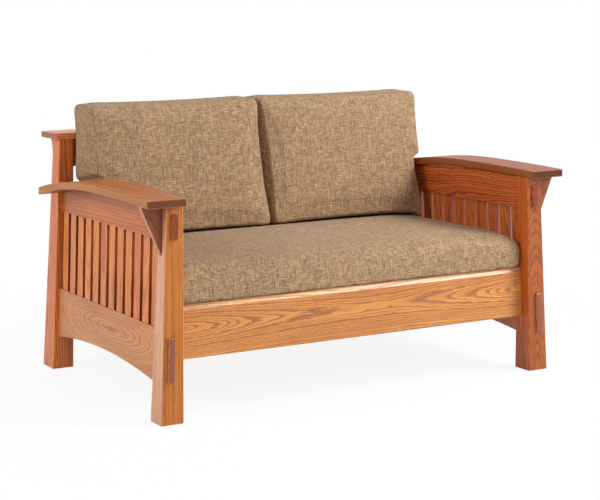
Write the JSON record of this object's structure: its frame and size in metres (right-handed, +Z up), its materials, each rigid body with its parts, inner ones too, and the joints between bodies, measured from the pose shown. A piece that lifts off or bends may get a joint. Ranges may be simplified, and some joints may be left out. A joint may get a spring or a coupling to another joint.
{
  "type": "mission settle",
  "caption": "Two-seat oak settle with bowed arms, slatted leaning sides with through tenons, and loose seat and back cushions that lift off.",
  "frame": {"origin": "on the floor under the middle of the settle's box", "axes": "+X to the sitter's left along the seat, +Y towards the back, +Z up"},
  "size_m": [1.437, 0.9776, 0.872],
  "materials": {
    "leg_oak": "satin stained oak, upright grain",
    "rail_oak": "satin stained oak, plain-sawn grain along the rail",
    "slat_oak": "satin stained oak, upright grain",
    "arm_oak": "satin stained oak, grain along the arm",
    "corbel_oak": "satin stained oak",
    "cap_oak": "satin stained oak, grain along the cap",
    "deck_wood": "unstained hardwood",
    "seat_fabric": "tan and olive tweed weave",
    "back_fabric": "tan and olive tweed weave"
  },
  "bodies": {
    "frame": {"arm_left": "arm_oak", "arm_right": "arm_oak", "back_cap": "cap_oak", "back_post_left": "leg_oak", "back_post_right": "leg_oak", "back_slat_01": "slat_oak", "back_slat_02": "slat_oak", "back_slat_03": "slat_oak", "back_slat_04": "slat_oak", "back_slat_05": "slat_oak", "back_slat_06": "slat_oak", "back_slat_07": "slat_oak", "back_slat_08": "slat_oak", "back_slat_09": "slat_oak", "back_top_rail": "rail_oak", "corbel_left": "corbel_oak", "corbel_right": "corbel_oak", "deck_slat_1": "deck_wood", "deck_slat_2": "deck_wood", "deck_slat_3": "deck_wood", "deck_slat_4": "deck_wood", "deck_slat_5": "deck_wood", "deck_slat_6": "deck_wood", "front_cleat": "deck_wood", "front_leg_left": "leg_oak", "front_leg_right": "leg_oak", "front_seat_rail": "rail_oak", "lower_side_rail_left": "rail_oak", "lower_side_rail_right": "rail_oak", "rear_cleat": "deck_wood", "rear_seat_rail": "rail_oak", "side_slat_01_left": "slat_oak", "side_slat_01_right": "slat_oak", "side_slat_02_left": "slat_oak", "side_slat_02_right": "slat_oak", "side_slat_03_left": "slat_oak", "side_slat_03_right": "slat_oak", "side_slat_04_left": "slat_oak", "side_slat_04_right": "slat_oak", "side_slat_05_left": "slat_oak", "side_slat_05_right": "slat_oak", "side_slat_06_left": "slat_oak", "side_slat_06_right": "slat_oak", "side_slat_07_left": "slat_oak", "side_slat_07_right": "slat_oak", "side_slat_08_left": "slat_oak", "side_slat_08_right": "slat_oak", "side_slat_09_left": "slat_oak", "side_slat_09_right": "slat_oak", "side_slat_10_left": "slat_oak", "side_slat_10_right": "slat_oak", "side_slat_11_left": "slat_oak", "side_slat_11_right": "slat_oak", "side_slat_12_left": "slat_oak", "side_slat_12_right": "slat_oak", "upper_side_rail_left": "rail_oak", "upper_side_rail_right": "rail_oak"},
    "seat_cushion": {"seat_cushion": "seat_fabric"},
    "back_cushion_left": {"back_cushion_left": "back_fabric"},
    "back_cushion_right": {"back_cushion_right": "back_fabric"}
  },
  "joints": [
    {"name": "seat_cushion_lift", "type": "slide", "parent": "frame", "child": "seat_cushion", "axis": [0, 0, 1], "range_m": [0, 0.36]},
    {"name": "back_cushion_left_lift", "type": "slide", "parent": "seat_cushion", "child": "back_cushion_left", "axis": [0, 0, 1], "range_m": [0, 0.4]},
    {"name": "back_cushion_right_lift", "type": "slide", "parent": "seat_cushion", "child": "back_cushion_right", "axis": [0, 0, 1], "range_m": [0, 0.4]}
  ]
}
